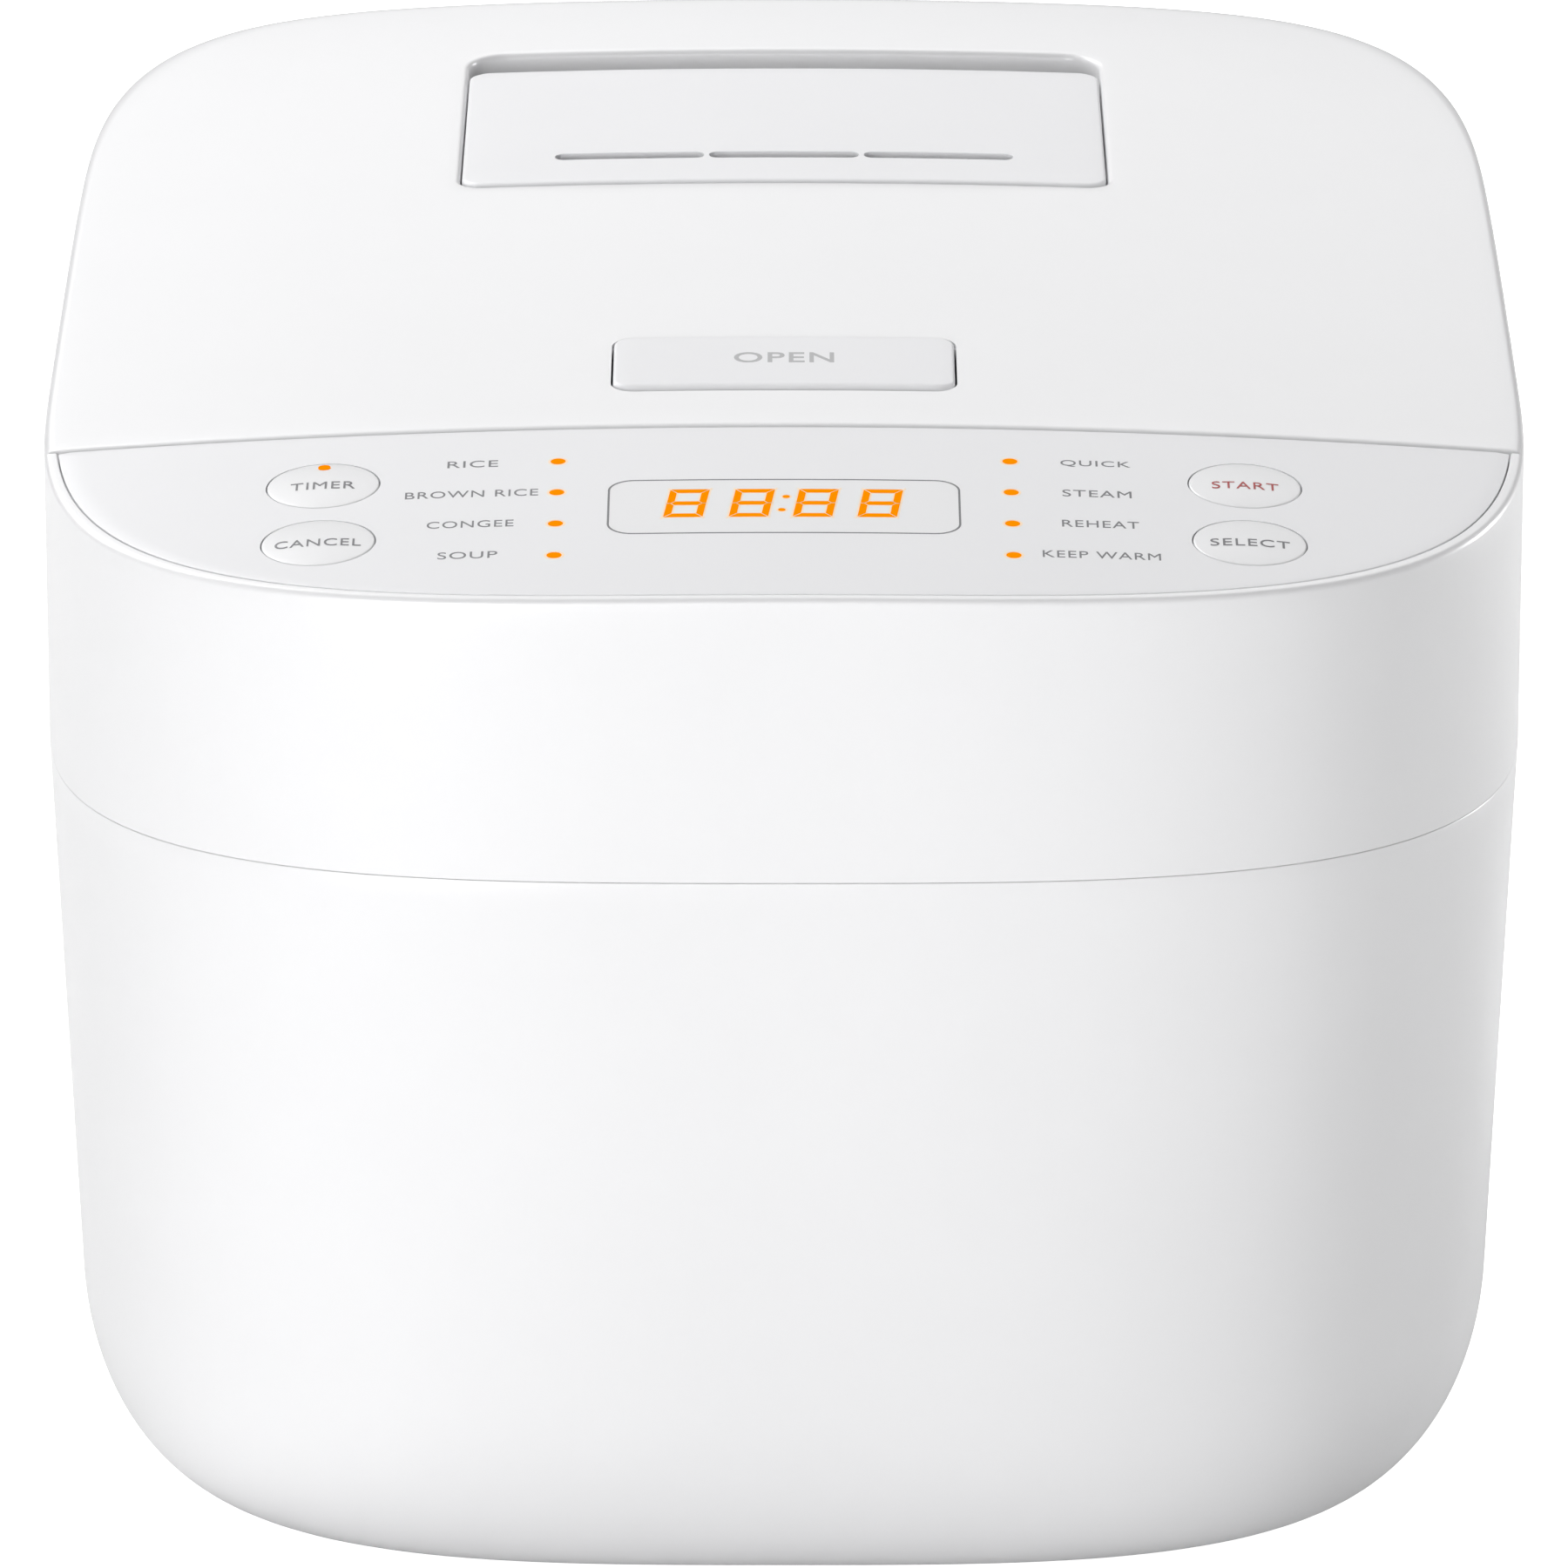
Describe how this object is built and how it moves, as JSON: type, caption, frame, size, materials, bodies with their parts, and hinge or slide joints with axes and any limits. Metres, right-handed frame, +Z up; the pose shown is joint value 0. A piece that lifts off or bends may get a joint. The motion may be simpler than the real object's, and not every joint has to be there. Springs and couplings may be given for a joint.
{
  "type": "rice cooker",
  "caption": "Electronic rice cooker with a hinged lid, lift-off steam vent, removable pot, sprung control buttons and a rear power inlet.",
  "frame": {"origin": "middle of the footprint, on the surface that the feet stand on", "axes": "+Z up, +Y to the back, where the lid is hinged, +X to the right as seen by the user; the control panel faces -Y"},
  "size_m": [0.25, 0.306, 0.2032],
  "materials": {
    "casing_white": "satin moulded white",
    "panel_white": "satin white with grey legends",
    "button_white": "satin domed caps",
    "display_window": "satin, amber figures showing through",
    "lamp_amber": "translucent amber",
    "inner_white": "fine matt",
    "cover_grey": "fine matt",
    "dark_plastic": "matt",
    "foot_rubber": "matt",
    "silicone": "matt",
    "steel": "brushed",
    "galvanised": "satin",
    "aluminium": "satin",
    "cast_alloy": "fine cast",
    "pot_coating": "matt non-stick",
    "brass_contact": "plain",
    "circuit_board": "solder mask",
    "component_black": "matt",
    "component_yellow": "tape wrapped",
    "lead_insulation": "satin sleeve",
    "heater_fabric": "glass cloth band"
  },
  "bodies": {
    "casing": {"lower_body": "casing_white", "base_cover": "cover_grey", "base_screws": "steel", "feet": "foot_rubber", "upper_frame": "casing_white", "control_panel": "panel_white", "display_lens": "display_window", "display_module": "dark_plastic", "mode_lamps": "lamp_amber", "lamp_leds": "component_yellow", "tact_switches": "component_black", "control_board": "circuit_board", "board_screws": "steel", "power_board": "circuit_board", "transformer": "component_yellow", "power_relay": "component_black", "filter_capacitors": "component_black", "terminal_blocks": "inner_white", "ribbon_cable": "cover_grey", "power_inlet": "dark_plastic", "inlet_blades": "brass_contact", "inlet_leads": "lead_insulation", "liner": "galvanised", "side_heater": "heater_fabric", "heating_plate": "cast_alloy", "heater_element": "steel", "heater_leads": "lead_insulation", "plate_posts": "steel", "thermal_fuse": "steel", "sensor_guide": "galvanised", "sensor_spring": "steel", "hinge_pins": "steel", "hinge_springs": "steel"},
    "lid": {"lid_outer": "casing_white", "lid_inner": "inner_white", "inner_plate": "aluminium", "plate_gasket": "silicone", "plate_knob": "silicone", "steam_cup": "inner_white", "steam_seal": "silicone", "lid_sensor": "aluminium", "lid_screws": "steel", "latch_pin": "steel", "button_springs": "steel"},
    "steam_vent": {"vent_cover": "panel_white", "vent_body": "inner_white", "vent_baffle": "inner_white", "vent_seal": "silicone"},
    "release_button": {"lid_button": "panel_white"},
    "latch": {"latch_hook": "dark_plastic"},
    "timer_key": {"timer_button": "button_white", "timer_lamp": "lamp_amber"},
    "cancel_key": {"cancel_button": "button_white"},
    "start_key": {"start_button": "button_white"},
    "select_key": {"select_button": "button_white"},
    "pot": {"inner_pot": "pot_coating"},
    "sensor": {"thermal_sensor": "aluminium"}
  },
  "joints": [
    {"name": "lid_hinge", "type": "hinge", "parent": "casing", "child": "lid", "pos_m": [0, 0.139, 0.176], "axis": [-1, 0, 0], "range_deg": [0, 85], "deforming": ["hinge_springs"]},
    {"name": "release_press", "type": "hinge", "parent": "lid", "child": "release_button", "pos_m": [0, -0.043, 0.1912], "axis": [1, 0, 0], "range_deg": [0, 6], "stiffness_Nm_per_rad": 0.2, "springref_deg": -2.86, "deforming": ["button_springs"]},
    {"name": "latch_release", "type": "hinge", "parent": "lid", "child": "latch", "pos_m": [0, -0.052, 0.178], "axis": [1, 0, 0], "range_deg": [0, 10]},
    {"name": "steam_vent_lift", "type": "slide", "parent": "lid", "child": "steam_vent", "axis": [0, 0, 1], "range_m": [0, 0.03]},
    {"name": "timer_press", "type": "slide", "parent": "casing", "child": "timer_key", "axis": [0.0471, 0.1011, -0.9938], "range_m": [0, 0.0006], "stiffness_N_per_m": 600, "springref_m": -0.001},
    {"name": "cancel_press", "type": "slide", "parent": "casing", "child": "cancel_key", "axis": [0.0471, 0.1011, -0.9938], "range_m": [0, 0.0006], "stiffness_N_per_m": 600, "springref_m": -0.001},
    {"name": "start_press", "type": "slide", "parent": "casing", "child": "start_key", "axis": [-0.0471, 0.1011, -0.9938], "range_m": [0, 0.0006], "stiffness_N_per_m": 600, "springref_m": -0.001},
    {"name": "select_press", "type": "slide", "parent": "casing", "child": "select_key", "axis": [-0.0471, 0.1011, -0.9938], "range_m": [0, 0.0006], "stiffness_N_per_m": 600, "springref_m": -0.001},
    {"name": "pot_turn", "type": "hinge", "parent": "casing", "child": "pot", "pos_m": [0, 0.0255, 0.1], "axis": [0, 0, 1], "continuous": true},
    {"name": "sensor_press", "type": "slide", "parent": "casing", "child": "sensor", "axis": [0, 0, -1], "range_m": [0, 0.002], "stiffness_N_per_m": 400, "springref_m": -0.004, "deforming": ["sensor_spring"]}
  ],
  "couplings": [
    {"joint": "latch_release", "follows": "release_press", "ratio": 1.6}
  ]
}
